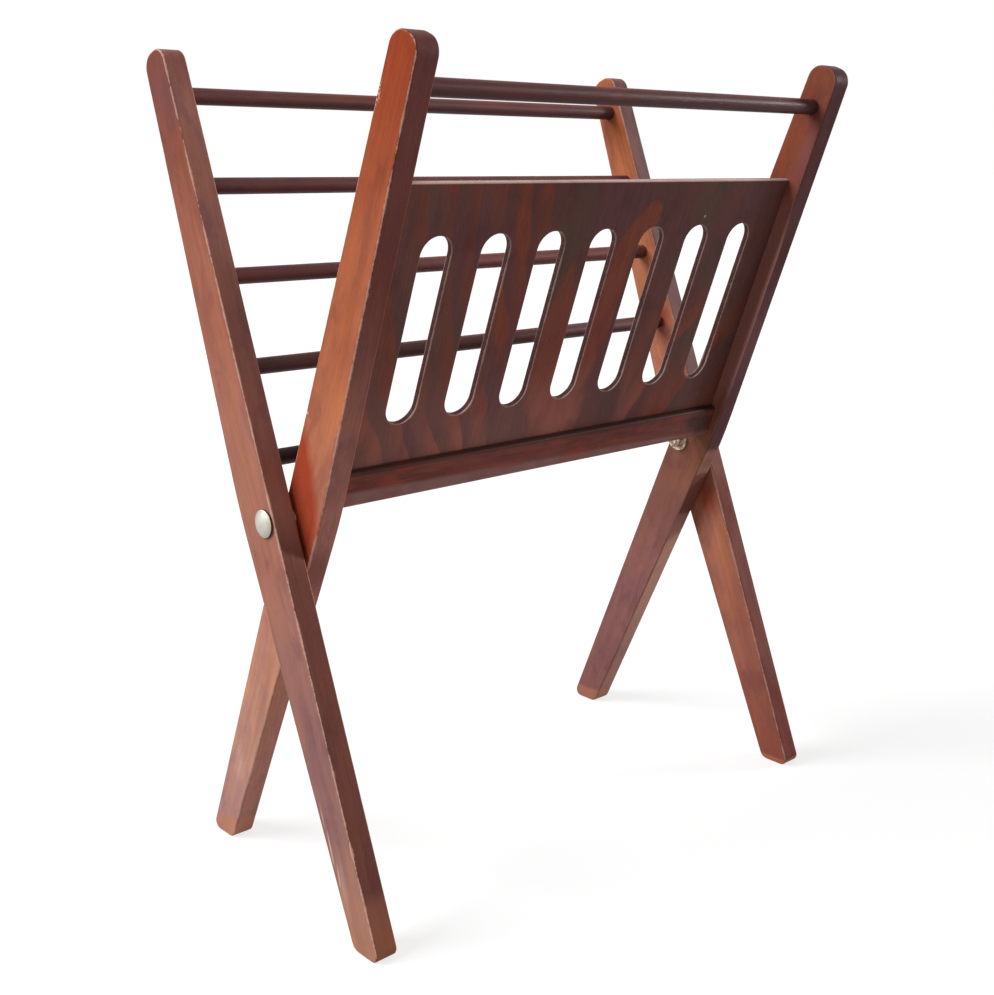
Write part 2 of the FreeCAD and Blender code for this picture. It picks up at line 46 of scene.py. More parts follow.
# Legs: rise is measured along a leg from its bolt, across from its straight edge
LEG_LEAN = math.radians(21.5)
LEG_LOW = -0.257
LEG_HIGH = 0.2838
LEG_HALF = 0.0075  # half of the thickness
LEG_WIDTH = 0.034  # at the bend in the outer edge
LEG_TAPER = 0.0451  # width lost for each metre away from the bend
LEG_BEND = 0.0144  # rise of the bend
TOP_ROUND = 0.0095
# Which way a frame's legs face, from straight edge to bolt, and from bolt to where rise is zero
LEG_FACINGS = {"back": (1.0, 0.009, 0.0), "front": (-1.0, 0.0075, 0.000591)}

# Panel and rail: along is measured up the panel from its foot, depth through it
PANEL_LEAN = math.radians(18.9495)
PANEL_FOOT = Vector((0.0, -0.024663, 0.226103))
PANEL_FRONT = 0.010
PANEL_BACK = 0.014
PANEL_TOP = 0.20908
SLOT_PITCH = 0.044
SLOT_MIDDLE = 0.12184
SLOT_STRAIGHT = 0.04624  # half of the straight part
SLOT_HALF = 0.011  # half of the width
SLOTS_END = 0.1540  # half a pitch past the middle of the last slots
RAIL_FRONT = 0.0055
RAIL_LOW = 0.0138

# Bolts: only their heads are farther out than the seat
HEAD_SEAT = 0.19995
SHANK_RADIUS = 0.00305
THREAD_TURNS = 1000.0  # in each metre


def tone(red, green, blue):
    """A colour as it looks on a screen, 0 to 255, as the linear colour that a shader takes."""
    linear = []
    for part in (red, green, blue):
        level = part / 255
        linear.append(level / 12.92 if level <= 0.04045 else ((level + 0.055) / 1.055) ** 2.4)
    return (*linear, 1.0)


def colour(name, description, shade):
    """A colour that a user may change."""
    return FloatVectorProperty(name=name, description=description, default=shade, subtype="COLOR",
                               size=4, min=0.0, max=1.0)


def length(name, description, metres):
    """A length that a user may change."""
    return FloatProperty(name=name, description=description, default=metres, min=0.0,
                         subtype="DISTANCE", unit="LENGTH", precision=4)


def share(name, description, value):
    """A share, from 0 to 1, that a user may change."""
    return FloatProperty(name=name, description=description, default=value, min=0.0, max=1.0,
                         subtype="FACTOR")


def angle(name, description, degrees):
    """An angle that a user may change."""
    return FloatProperty(name=name, description=description, default=math.radians(degrees),
                         subtype="ANGLE", unit="ROTATION")


def brightness(name, description, strength):
    """A lamp's strength that a user may change."""
    return FloatProperty(name=name, description=description, default=strength, min=0.0, max=10.0)


class LegStain(bpy.types.PropertyGroup):
    """Stain of one leg from its top to its foot."""
    top: colour("Top", "Stain at the leg's top", tone(150, 80, 60))
    upper: colour("Upper", "Stain of the upper half", tone(165, 85, 60))
    middle: colour("Middle", "Stain round the bolt", tone(165, 85, 65))
    lower: colour("Lower", "Stain of the lower half", tone(150, 90, 75))
    foot: colour("Foot", "Worn stain at the foot", tone(180, 125, 100))
    upper_edge: colour("Upper edge", "Stain of the narrow edges above the bolt", tone(130, 70, 55))
    lower_edge: colour("Lower edge", "Stain of the narrow edges below the bolt", tone(140, 80, 65))


def leg_stain(name):
    """The stain of one leg, which a user may change."""
    return PointerProperty(type=LegStain, name=name, description=f"{name}: stain from top to foot")


class RackFinish(bpy.types.PropertyGroup):
    """Stains, wear and metal of the rack."""
    back_leg_left: leg_stain("Back leg, left")
    back_leg_right: leg_stain("Back leg, right")
    front_leg_left: leg_stain("Front leg, left")
    front_leg_right: leg_stain("Front leg, right")
    bare_wood: colour("Bare wood", "Wood where the stain is worn off", tone(238, 190, 168))
    rung_stain: colour("Rung stain", "Stain of the dowels", tone(117, 74, 74))
    panel_stain: colour("Panel stain", "Dark stain of the plywood panel", tone(93, 57, 54))
    panel_flame: colour("Panel figure", "Reddish figure of the panel's face veneer", tone(126, 64, 48))
    ply_edge: colour("Ply edge", "Cut edge of the plywood", tone(226, 190, 180))
    rail_stain: colour("Rail stain", "Stain of the bottom rail", tone(127, 70, 62))
    steel: colour("Steel", "Zinc plate on the bolts, washers and nuts", tone(188, 191, 183))
    # This colour also serves as painted shade under the rungs, on the panel above the rail and on the
    # rail's top
    grime: colour("Grime", "Dirt in corners and gathered stain", tone(38, 24, 20))
    wear_reach: length("Wear", "How far the wear reaches from an edge", 0.0010)
    grain_depth: share("Grain depth", "How deep the grain stands in the varnish", 0.35)


class RackStage(bpy.types.PropertyGroup):
    """Camera, lamps and floor round the rack."""
    camera_place: FloatVectorProperty(name="Camera", description="Where the camera stands", size=3,
                                      default=(-0.605338, -0.626726, 0.440338),
                                      subtype="TRANSLATION", unit="LENGTH")
    camera_yaw: angle("Yaw", "Camera turned to the right of +Y", 41.986)
    camera_pitch: angle("Pitch", "Camera raised above level", -13.477)
    camera_roll: angle("Roll", "Camera turned about its own line of sight", 0.458)
    camera_lens: FloatProperty(name="Lens", description="Focal length on a 36 mm wide sensor, in mm",
                               default=48.457, min=10.0, max=200.0)
    key_light: brightness("Key light", "Light from the upper left", 2.8)
    fill_light: brightness("Fill light", "Light from the right", 1.9)
    room_light: share("Room light", "Even light from all round", 0.26)
    floor_tone: share("Floor tone", "How much of its light the floor gives back", 0.40)


class NodeBench:
    """Places nodes in one tree and wires them up."""

    def __init__(self, tree):
        self.tree = tree

    def place(self, kind, **settings):
        """A new node with these settings."""
        node = self.tree.nodes.new(kind)
        for key, value in settings.items():
            setattr(node, key, value)
        return node

    def feed(self, socket, value):
        """Wires an output into a socket, or sets the socket to a plain value."""
        if isinstance(value, bpy.types.NodeSocket):
            self.tree.links.new(value, socket)
        else:
            socket.default_value = value

    def feed_all(self, node, **values):
        """Feeds a node's sockets by their names, with a low line for each space."""
        for name, value in values.items():
            self.feed(node.inputs[name.replace("_", " ")], value)

    def reckon(self, operation, *values):
        """One step of arithmetic."""
        node = self.place("ShaderNodeMath", operation=operation)
        for socket, value in zip(node.inputs, values):
            self.feed(socket, value)
        return node.outputs[0]

    def plus(self, first, second):
        """Both added up."""
        return self.reckon("ADD", first, second)

    def minus(self, first, second):
        """The first less the second."""
        return self.reckon("SUBTRACT", first, second)

    def times(self, first, second):
        """The first multiplied by the second."""
        return self.reckon("MULTIPLY", first, second)

    def scaled(self, value, factor, start):
        """A value multiplied, and added to a start."""
        return self.reckon("MULTIPLY_ADD", value, factor, start)

    def larger(self, first, second):
        """The larger of two."""
        return self.reckon("MAXIMUM", first, second)

    def smaller(self, first, second):
        """The smaller of two."""
        return self.reckon("MINIMUM", first, second)

    def unsigned(self, value):
        """A value without its sign."""
        return self.reckon("ABSOLUTE", value)

    def away(self, first, second):
        """Distance from zero, from its parts in two directions."""
        return self.reckon("SQRT", self.plus(self.times(first, first), self.times(second, second)))

    def ease(self, value, low, high, start=0.0, end=1.0):
        """A smooth step from start at low to end at high."""
        node = self.place("ShaderNodeMapRange", interpolation_type="SMOOTHSTEP", clamp=True)
        self.feed_all(node, Value=value, From_Min=low, From_Max=high, To_Min=start, To_Max=end)
        return node.outputs["Result"]

    def blend(self, part, first, second, how="MIX"):
        """Two colours mixed by a mask."""
        node = self.place("ShaderNodeMix", data_type="RGBA", blend_type=how)
        self.feed(node.inputs["Factor"], part)
        self.feed(node.inputs[6], first)
        self.feed(node.inputs[7], second)
        return node.outputs[2]

    def tinted(self, shade, tint):
        """A colour seen through a tint."""
        return self.blend(1.0, shade, tint, "MULTIPLY")

    def noise(self, place, scale, detail=2.0, roughness=0.5, distortion=0.0):
        """Cloudy noise, about 0.5 in the middle."""
        node = self.place("ShaderNodeTexNoise")
        self.feed_all(node, Vector=place, Scale=scale, Detail=detail, Roughness=roughness,
                      Distortion=distortion)
        return node.outputs[0]

    def mapped(self, place, location=(0, 0, 0), rotation=(0, 0, 0), scale=(1, 1, 1), kind="POINT"):
        """A place moved, turned and stretched."""
        node = self.place("ShaderNodeMapping", vector_type=kind)
        self.feed_all(node, Vector=place, Location=location, Rotation=rotation, Scale=scale)
        return node.outputs[0]

    def split(self, place):
        """The three parts of a place."""
        node = self.place("ShaderNodeSeparateXYZ")
        self.feed(node.inputs[0], place)
        return node.outputs

    def join(self, x, y, z):
        """A place from its three parts."""
        node = self.place("ShaderNodeCombineXYZ")
        for socket, value in zip(node.inputs, (x, y, z)):
            self.feed(socket, value)
        return node.outputs[0]

    def group(self, build, **values):
        """A node group with its inputs; the group is built when it is first asked for."""
        tree = bpy.data.node_groups.get(build.__name__) or build()
        node = self.place("ShaderNodeGroup", node_tree=tree)
        self.feed_all(node, **{name.capitalize(): value for name, value in values.items()})
        return node.outputs


SOCKETS = {"place": "NodeSocketVector", "value": "NodeSocketFloat", "colour": "NodeSocketColor"}


def new_group(name, inputs, outputs):
    """An empty node group with these sockets: its bench, what it is given and what it puts out."""
    tree = bpy.data.node_groups.new(name, "ShaderNodeTree")
    for label, kind, value in inputs:
        socket = tree.interface.new_socket(label, in_out="INPUT", socket_type=SOCKETS[kind])
        socket.default_value = value
    for label, kind in outputs:
        tree.interface.new_socket(label, in_out="OUTPUT", socket_type=SOCKETS[kind])
    bench = NodeBench(tree)
    return bench, bench.place("NodeGroupInput").outputs, bench.place("NodeGroupOutput").inputs


def stained_grain():
    """Straight-grained wood under a stain: the grain runs along the place's Z."""
    bench, given, out = new_group(
        "stained_grain",
        (("Place", "place", (0, 0, 0)), ("Stain", "colour", tone(150, 80, 60)),
         ("Contrast", "value", 0.5), ("Mottle", "value", 0.5)),
        (("Colour", "colour"), ("Height", "value")))
    place, stain, contrast, mottle = (given[name] for name in ("Place", "Stain", "Contrast", "Mottle"))
    clouds = bench.noise(bench.mapped(place, scale=(1, 1, 0.45)), 52, 4, 0.6, 0.6)
    bands = bench.noise(bench.mapped(place, scale=(1, 1, 0.035)), 210, 3, 0.55, 0.15)
    fibres = bench.noise(bench.mapped(place, scale=(1, 1, 0.03)), 950, 2, 0.6)
    pores = bench.ease(bench.noise(bench.mapped(place, scale=(1, 1, 0.07)), 1500, 1, 0.5), 0.62, 0.72)
    streak = bench.plus(bench.times(bench.ease(bands, 0.34, 0.66), 0.6),
                        bench.times(bench.ease(fibres, 0.3, 0.7), 0.4))
    darker = bench.tinted(stain, (0.42, 0.34, 0.33, 1))
    warmer = bench.tinted(stain, (1.22, 1.12, 0.82, 1))
    cooler = bench.tinted(stain, (0.66, 0.62, 0.80, 1))
    warm = bench.times(bench.ease(clouds, 0.50, 0.66), mottle)
    cool = bench.times(bench.ease(clouds, 0.50, 0.34), mottle)
    toned = bench.blend(cool, bench.blend(warm, stain, warmer), cooler)
    toned = bench.blend(bench.times(bench.minus(1.0, streak), contrast), toned, darker)
    toned = bench.blend(bench.times(pores, bench.times(contrast, 0.7)), toned, darker)
    bench.feed(out["Colour"], toned)
    bench.feed(out["Height"], bench.minus(bench.times(streak, 0.5), bench.times(pores, 0.6)))
    return bench.tree


def edge_wear():
    """Stain rubbed off along an edge: 1 at the edge, broken up, and 0 past the reach."""
    bench, given, out = new_group(
        "edge_wear",
        (("Distance", "value", 0.01), ("Reach", "value", 0.001), ("Place", "place", (0, 0, 0)),
         ("Ragged", "value", 0.5)),
        (("Mask", "value"),))
    patches = bench.minus(bench.noise(given["Place"], 46, 3, 0.6), 0.5)
    nicks = bench.minus(bench.noise(given["Place"], 420, 2, 0.6), 0.5)
    sway = bench.plus(bench.times(patches, 3.4), bench.times(nicks, 1.6))
    reach = bench.times(given["Reach"], bench.larger(0.05, bench.scaled(sway, given["Ragged"], 1.0)))
    near = bench.reckon("DIVIDE", given["Distance"], reach)
    bench.feed(out["Mask"], bench.ease(near, 1.0, 0.35))
    return bench.tree


def placed_mark():
    """One mark at a place: 1 inside a ragged oval and 0 outside it."""
    bench, given, out = new_group(
        "placed_mark",
        (("Place", "place", (0, 0, 0)), ("Centre", "place", (0, 0, 0)), ("Turn", "place", (0, 0, 0)),
         ("Reach", "place", (0.01, 0.01, 0.01)), ("Ragged", "value", 0.4), ("Soft", "value", 0.4)),
        (("Mask", "value"),))
    near = bench.mapped(given["Place"], given["Centre"], given["Turn"], given["Reach"], "TEXTURE")
    far = bench.place("ShaderNodeVectorMath", operation="LENGTH")
    bench.feed(far.inputs[0], near)
    sway = bench.minus(bench.noise(near, 1.6, 3, 0.6), 0.5)
    size = bench.scaled(bench.times(sway, 2.0), given["Ragged"], far.outputs["Value"])
    bench.feed(out["Mask"], bench.ease(size, 1.0, bench.minus(1.0, given["Soft"])))
    return bench.tree


def settled_dirt():
    """Dirt and handling that dulls a surface in soft patches."""
    bench, given, out = new_group(
        "settled_dirt", (("Place", "place", (0, 0, 0)), ("Amount", "value", 0.5)),
        (("Mask", "value"), ("Dullness", "value")))
    clouds = bench.noise(given["Place"], 22, 4, 0.6, 0.3)
    smears = bench.noise(bench.mapped(given["Place"], scale=(1, 1, 0.4)), 130, 3, 0.6)
    both = bench.plus(bench.times(clouds, 0.65), bench.times(smears, 0.35))
    bench.feed(out["Mask"], bench.times(bench.ease(both, 0.47, 0.66), given["Amount"]))
    bench.feed(out["Dullness"], bench.ease(both, 0.3, 0.7))
    return bench.tree


def cleared_bench(owner):
    """The bench of a material or world, with nothing on it."""
    owner.use_nodes = True
    owner.node_tree.nodes.clear()
    return NodeBench(owner.node_tree)


def new_finish(name):
    """An empty material: its bench, its shader, and its place and normal at rest."""
    material = bpy.data.materials.new(name)
    bench = cleared_bench(material)
    shader = bench.place("ShaderNodeBsdfPrincipled")
    bench.feed(bench.place("ShaderNodeOutputMaterial").inputs["Surface"], shader.outputs[0])
    spot = bench.place("ShaderNodeTexCoord")
    return material, bench, shader, spot.outputs["Object"], spot.outputs["Normal"]


def raise_relief(bench, shader, height, strength, depth):
    """Lets a height stand out from the surface."""
    bump = bench.place("ShaderNodeBump")
    bench.feed_all(bump, Strength=strength, Distance=depth, Height=height)
    bench.feed(shader.inputs["Normal"], bump.outputs["Normal"])


GRAIN_RELIEF_DEPTH = 0.0004


def varnish(bench, shader, stain, height, roughness, grain_depth, gloss):
    """Joins stain, gloss and grain to the shader as varnished wood."""
    bench.feed_all(shader, Base_Color=stain, Roughness=roughness, Specular_IOR_Level=gloss)
    raise_relief(bench, shader, height, grain_depth, GRAIN_RELIEF_DEPTH)


def put_on(material, *names):
    """Gives these nodes the material."""
    for name in names:
        slots = NODES[name].data.materials
        slots.clear()
        slots.append(material)


# Stain of each leg: top, upper, middle, lower, foot, upper edge and lower edge
TONE_KEYS = ("top", "upper", "middle", "lower", "foot", "upper_edge", "lower_edge")
LEG_TONES = {
    "back_leg_left": ((142, 75, 58), (179, 111, 89), (182, 121, 102), (157, 112, 107), (177, 128, 110),
                      (173, 116, 104), (127, 74, 63)),
    "front_leg_left": ((162, 68, 36), (189, 109, 76), (198, 127, 96), (199, 146, 128), (188, 138, 130),
                       (112, 64, 60), (182, 124, 110)),
    "front_leg_right": ((142, 77, 56), (140, 72, 50), (144, 94, 77), (150, 101, 97), (138, 91, 88),
                        (86, 45, 46), (176, 127, 115)),
    "back_leg_right": ((194, 110, 74), (208, 132, 94), (206, 134, 106), (170, 107, 89), (157, 89, 73),
                       (144, 103, 100), (130, 59, 44)),
}

# How each leg is worn at its foot: height of the worn zone and its strength
LEG_SCUFFS = {
    "back_leg_left": (0.040, 0.25), "front_leg_left": (0.0155, 0.5),
    "front_leg_right": (0.0125, 0.45), "back_leg_right": (0.005, 0.5),
}

# Where the narrow edges of a leg change from lower to upper stain, as a share of its length
LEG_EDGE_TURNS = {
    "back_leg_left": (0.40, 0.54), "front_leg_left": (0.40, 0.80),
    "front_leg_right": (0.476, 0.488), "back_leg_right": (0.40, 0.54),
}

# How pale the long edges of a leg are, worn and partly a painted highlight, on its right and its left side:
# hardly beside the panel
LEG_RUBS = {
    "back_leg_left": (0.4, 0.85), "front_leg_left": (0.0, 0.75),
    "front_leg_right": (0.4, 0.08), "back_leg_right": (0.4, 0.6),
}
RUB_TURN = 0.004  # from the middle of the leg's thickness

# Kinds of mark: tint, or none for bare wood, and how ragged the border is
MARK_KINDS = {
    "bare": (None, 0.35), "chips": (None, 0.35),
    "dark": (tone(100, 50, 46), 0.35), "dark_edge": (tone(100, 50, 46), 0.20),
    "purple": (tone(126, 82, 86), 0.35), "purple_edge": (tone(126, 82, 86), 0.20),
    # The pale mauve tint on the next line is painted light that lifts a shaded corner
    "red": (tone(164, 49, 20), 0.12), "lightened": (tone(168, 112, 102), 0.35),
    # The two kinds below are painted light on a narrow edge and a painted cast shadow on a narrow edge
    "painted_light_edge": (tone(208, 155, 134), 0.20), "painted_shadow_edge": (tone(108, 54, 47), 0.04),
}

# Marks on a leg: kind, place (side, across from the straight edge, rise from the bolt), turn, reaches,
# strength and softness
LEG_MARKS = {
    "back_leg_left": (
        ("bare", (-0.200, 0.0218, -0.171), 0.03, (0.004, 0.0008, 0.009), 0.5, 0.7),
        ("bare", (-0.200, 0.0210, -0.190), 0.06, (0.004, 0.0010, 0.013), 0.7, 0.6),
        ("bare", (-0.200, 0.0193, -0.206), 0.12, (0.004, 0.0009, 0.009), 0.6, 0.7),
        ("bare", (-0.200, 0.0170, -0.212), 0.10, (0.004, 0.0050, 0.026), 0.22, 1.0),
        ("purple", (-0.200, 0.0150, -0.140), 0.00, (0.004, 0.0200, 0.046), 0.3, 1.0),
        ("purple", (-0.200, 0.0100, 0.256), 0.00, (0.004, 0.0200, 0.034), 0.5, 1.0),
        # Painted light: the straight edge lightened beside the bolt, where the front leg shades it
        ("painted_light_edge", (-0.1925, 0.0, 0.004), 0.00, (0.030, 0.0060, 0.030), 0.35, 1.0),
        ("dark_edge", (-0.1925, 0.0, 0.272), 0.00, (0.030, 0.0120, 0.030), 0.35, 1.0),
    ),
    "front_leg_left": (
        # Painted reflection shade: near the crossing the back leg hides the bright reflection, so the wood
        # shows a deeper red
        ("red", (-0.1825, -0.0058, 0.0290), 0.588, (0.006, 0.0286, 0.0800), 0.78, 0.35),
        ("dark_edge", (-0.175, 0.0320, -0.026), 0.0, (0.030, 0.0120, 0.026), 0.55, 0.8),
        ("dark_edge", (-0.175, 0.0266, 0.178), 0.0, (0.030, 0.0120, 0.038), 0.45, 1.0),
        ("chips", (-0.1825, 0.0012, 0.2500), 0.06, (0.006, 0.0022, 0.0095), 0.8, 0.6),
        ("bare", (-0.1825, 0.0012, 0.0670), 0.0, (0.004, 0.0016, 0.0014), 1.0, 0.6),
        ("purple", (-0.1825, 0.0220, -0.135), 0.05, (0.004, 0.0070, 0.050), 0.35, 1.0),
        ("bare", (-0.1825, 0.0120, -0.190), 0.3, (0.004, 0.0090, 0.020), 0.3, 1.0),
    ),
    "front_leg_right": (
        # Painted light: the inner face beside the panel, which lies in the panel's shade, is lightened
        ("lightened", (0.1675, 0.0250, 0.1150), -0.05, (0.004, 0.0400, 0.092), 0.80, 0.35),
        # Painted light on the lower front edge
        ("painted_light_edge", (0.1750, 0.0270, -0.1200), 0.0, (0.040, 0.0300, 0.082), 0.75, 0.7),
        # Painted shadow: the back leg's shadow across the front edge, just below the crossing
        ("painted_shadow_edge", (0.1750, 0.0310, -0.0355), 0.0, (0.040, 0.0300, 0.0208), 0.72, 0.20),
        ("dark_edge", (0.1750, 0.0330, -0.0040), 0.0, (0.040, 0.0300, 0.0160), 0.40, 0.8),
        ("purple_edge", (0.1750, 0.0300, 0.0900), 0.0, (0.040, 0.0300, 0.070), 0.45, 1.0),
        ("purple", (0.1675, 0.0200, 0.2300), 0.0, (0.004, 0.0070, 0.050), 0.55, 1.0),
        ("dark", (0.1675, 0.0120, 0.2600), 0.0, (0.004, 0.0140, 0.020), 0.5, 1.0),
        ("purple", (0.1675, 0.0150, -0.195), 0.0, (0.004, 0.0200, 0.036), 0.5, 1.0),
    ),
    "back_leg_right": (
        ("red", (0.185, 0.0120, 0.0960), 0.1, (0.004, 0.0100, 0.012), 0.7, 0.7),
        ("dark", (0.185, 0.0180, 0.2480), 0.1, (0.004, 0.0080, 0.034), 0.6, 1.0),
        ("dark", (0.185, 0.0150, -0.030), 0.3, (0.004, 0.0300, 0.024), 0.42, 1.0),
        ("red", (0.185, 0.0110, -0.048), 0.1, (0.004, 0.0130, 0.020), 0.55, 0.9),
    ),
}

SCUFFED_FOOT = tone(192, 126, 92)
LEG_DIRT = (0.45, 0.42, 0.45, 1)
LEG_GLOSS = 0.07


def leg_parts(bench, spot, name):
    """Where a spot is on a leg: to the side, across from the straight edge, and up from the bolt."""
    facing, inset, drop = LEG_FACINGS[name.split("_")[0]]
    local = bench.mapped(spot, PIVOT, (-LEG_LEAN * facing, 0, 0), kind="TEXTURE")
    x, y, z = bench.split(local)
    return x, bench.scaled(y, facing, inset), bench.minus(z, drop)


def from_outline(bench, across, rise):
    """Distance inside a leg's side outline, from its long edges and its rounded top."""
    width = bench.scaled(bench.unsigned(bench.minus(rise, LEG_BEND)), -LEG_TAPER, LEG_WIDTH)
    half = bench.times(width, 0.5)
    aside = bench.unsigned(bench.minus(across, half))
    aside = bench.minus(aside, bench.minus(half, TOP_ROUND))
    above = bench.minus(rise, LEG_HIGH - TOP_ROUND)
    inside = bench.smaller(bench.larger(aside, above), 0.0)
    corner = bench.away(bench.larger(aside, 0.0), bench.larger(above, 0.0))
    return bench.minus(TOP_ROUND, bench.plus(corner, inside))


def leg_ramp(bench, stain, along):
    """Stain of a leg's sides from its foot, at 0, to its top, at 1."""
    ramp = bench.place("ShaderNodeValToRGB")
    ramp.color_ramp.interpolation = "EASE"
    stops = ramp.color_ramp.elements
    stops[0].position, stops[0].color = 0.0, stain.foot
    stops[1].position, stops[1].color = 1.0, stain.top
    for position, shade in ((0.20, stain.lower), (0.50, stain.middle), (0.74, stain.upper)):
        stops.new(position).color = shade
    bench.feed(ramp.inputs[0], along)
    return ramp.outputs[0]


def marked_leg(bench, name, shade, place, on_edge, bare_wood):
    """A leg's colour with its marks on it, one after the other."""
    for kind, centre, turn, reach, strength, soft in LEG_MARKS[name]:
        tint, ragged = MARK_KINDS[kind]
        mark = bench.group(placed_mark, place=place, centre=centre, turn=(turn, 0, 0), reach=reach,
                           ragged=ragged, soft=soft)
        part = bench.times(mark["Mask"], strength)
        if kind == "chips":
            part = bench.times(part, bench.ease(bench.noise(place, 700, 2, 0.6), 0.50, 0.58))
        if kind.endswith("_edge"):
            part = bench.times(part, on_edge)
        shade = bench.blend(part, shade, tint or bare_wood)
    return shade


def leg_wood(name, finish):
    """Stained hardwood of one leg, worn at its foot and pale along its edges, partly wear and partly a
    painted highlight.
    """
    material, bench, shader, spot, normal = new_finish(f"stained_wood_{name}")
    low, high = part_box(name)
    middle = (low.x + high.x) / 2
    x, across, rise = leg_parts(bench, spot, name)
    place = bench.join(x, across, rise)
    up = bench.split(spot)[2]
    from_side = bench.minus(LEG_HALF, bench.unsigned(bench.minus(bench.unsigned(x), abs(middle))))
    from_edge = bench.smaller(from_outline(bench, across, rise), up)
    arris = bench.larger(bench.larger(from_side, from_edge), 0.0)

    stain = getattr(finish, name)
    sway = bench.minus(bench.noise(bench.mapped(place, scale=(1, 1, 0.5)), 30, 2), 0.5)
    along = bench.reckon("DIVIDE", bench.minus(rise, LEG_LOW), LEG_HIGH - LEG_LOW)
    sides = leg_ramp(bench, stain, bench.scaled(sway, 0.16, along))
    edges = bench.blend(bench.ease(along, *LEG_EDGE_TURNS[name]), stain.lower_edge, stain.upper_edge)
    on_edge = bench.ease(bench.unsigned(bench.split(normal)[0]), 0.75, 0.45)
    grain = bench.group(stained_grain, place=place, stain=bench.blend(on_edge, sides, edges),
                        contrast=0.28, mottle=0.55)
    shade = grain["Colour"]
    dirt = bench.group(settled_dirt, place=place, amount=0.22)
    shade = bench.blend(dirt["Mask"], shade, bench.tinted(shade, LEG_DIRT))

    height, strength = LEG_SCUFFS[name]
    scuffed = bench.ease(bench.scaled(sway, 0.008, up), height, height * 0.75, 0.0, strength)
    shade = bench.blend(scuffed, shade, SCUFFED_FOOT)
    shade = marked_leg(bench, name, shade, place, on_edge, finish.bare_wood)
    # Pale lines along the arrises: worn stain, and partly a painted highlight on the rounded edges
    wear = bench.group(edge_wear, distance=arris, reach=finish.wear_reach, place=place, ragged=0.9)
    rubbed = bench.ease(bench.minus(x, middle), RUB_TURN, -RUB_TURN, *LEG_RUBS[name])
    shade = bench.blend(bench.times(wear["Mask"], rubbed), shade, finish.bare_wood)
    rough = bench.scaled(wear["Mask"], 0.15, bench.scaled(dirt["Dullness"], 0.16, 0.44))
    varnish(bench, shader, shade, grain["Height"], rough, finish.grain_depth, LEG_GLOSS)
    return material


# Dowels: the lower ones at the back are paler, as painted light, the two lowest of them greyer, and the
# front one is darker, as painted shade
RUNG_PAINTED_LIGHT = tone(142, 90, 89)
RUNG_GREY = tone(112, 82, 82)
RUNG_FRONT_PAINTED_SHADE = tone(88, 44, 46)
RUNG_WORN = tone(142, 70, 60)
RUNG_GLOSS = 0.12


def rung_wood(finish):
    """Dark stained dowels, with their grain along X."""
    material, bench, shader, spot, normal = new_finish("stained_dowel")
    x, y, z = bench.split(spot)
    place = bench.join(y, z, x)
    # Painted light on the lower back rungs, and painted shade on the front rung
    stain = bench.blend(bench.ease(z, 0.400, 0.380, 0.0, 0.9), finish.rung_stain, RUNG_PAINTED_LIGHT)
    stain = bench.blend(bench.ease(z, 0.340, 0.320, 0.0, 0.8), stain, RUNG_GREY)
    stain = bench.blend(bench.ease(y, 0.0, -0.02, 0.0, 0.8), stain, RUNG_FRONT_PAINTED_SHADE)
    grain = bench.group(stained_grain, place=place, stain=stain, contrast=0.4, mottle=0.6)
    dirt = bench.group(settled_dirt, place=bench.mapped(place, scale=(1, 1, 0.4)), amount=0.55)
    shade = bench.blend(dirt["Mask"], grain["Colour"], RUNG_WORN)
    rubs = bench.noise(bench.mapped(place, scale=(1, 1, 0.3)), 160, 4, 0.65)
    shade = bench.blend(bench.ease(rubs, 0.70, 0.85, 0.0, 0.3), shade, finish.bare_wood)
    # Painted shade: darker on the underside, and the lowest rung darker at its left end, deep between the
    # legs
    under = bench.ease(bench.split(normal)[2], 0.15, -0.75, 0.0, 0.5)
    end = bench.group(placed_mark, place=spot, centre=(-0.172, 0.0215, 0.2675),
                      reach=(0.03, 0.03, 0.014), ragged=0.2, soft=0.5)
    under = bench.larger(under, bench.times(end["Mask"], 0.75))
    shade = bench.blend(under, shade, finish.grime)
    rough = bench.scaled(dirt["Dullness"], 0.2, 0.36)
    varnish(bench, shader, shade, grain["Height"], rough, finish.grain_depth, RUNG_GLOSS)
    return material


# Reddish flames in the middle of the panel: place, turn, reaches, strength and softness
PANEL_FLAMES = (
    ((0.0380, 0.012, 0.1870), 0.00, (0.0100, 0.02, 0.0105), 0.90, 0.25),
    ((0.0265, 0.012, 0.1730), 0.58, (0.0100, 0.02, 0.0240), 0.90, 0.25),
    ((0.0180, 0.012, 0.1180), 0.10, (0.0140, 0.02, 0.0620), 0.90, 0.35),
    ((-0.0210, 0.012, 0.1020), 0.00, (0.0150, 0.02, 0.0600), 0.75, 0.30),
    ((0.0000, 0.012, 0.0560), 0.20, (0.0340, 0.02, 0.0300), 0.80, 0.60),
    ((-0.0700, 0.012, 0.1800), -0.28, (0.0068, 0.02, 0.0260), 0.95, 0.35),
    ((-0.0670, 0.012, 0.1180), -0.20, (0.0080, 0.02, 0.0180), 0.80, 0.45),
    ((0.0640, 0.012, 0.0850), 0.10, (0.0110, 0.02, 0.0420), 0.60, 0.80),
)
LOW_FLAME = tone(158, 94, 80)
PURPLE_GROUND = tone(98, 58, 61)
GREEN_GROUND = tone(84, 64, 52)
LIGHTER_GROUND = tone(128, 88, 84)
SLOT_WALL = tone(72, 48, 46)
PLY = 0.0013
PANEL_WEAR_REACH = 0.0008
PANEL_DIRT = (0.55, 0.5, 0.52, 1)
PANEL_GLOSS = 0.06


def panel_parts(bench, spot):
    """Where a spot is on the panel or the rail: its place there, and to the side, deep and along."""
    place = bench.mapped(spot, PANEL_FOOT, (PANEL_LEAN, 0, 0), kind="TEXTURE")
    return place, *bench.split(place)


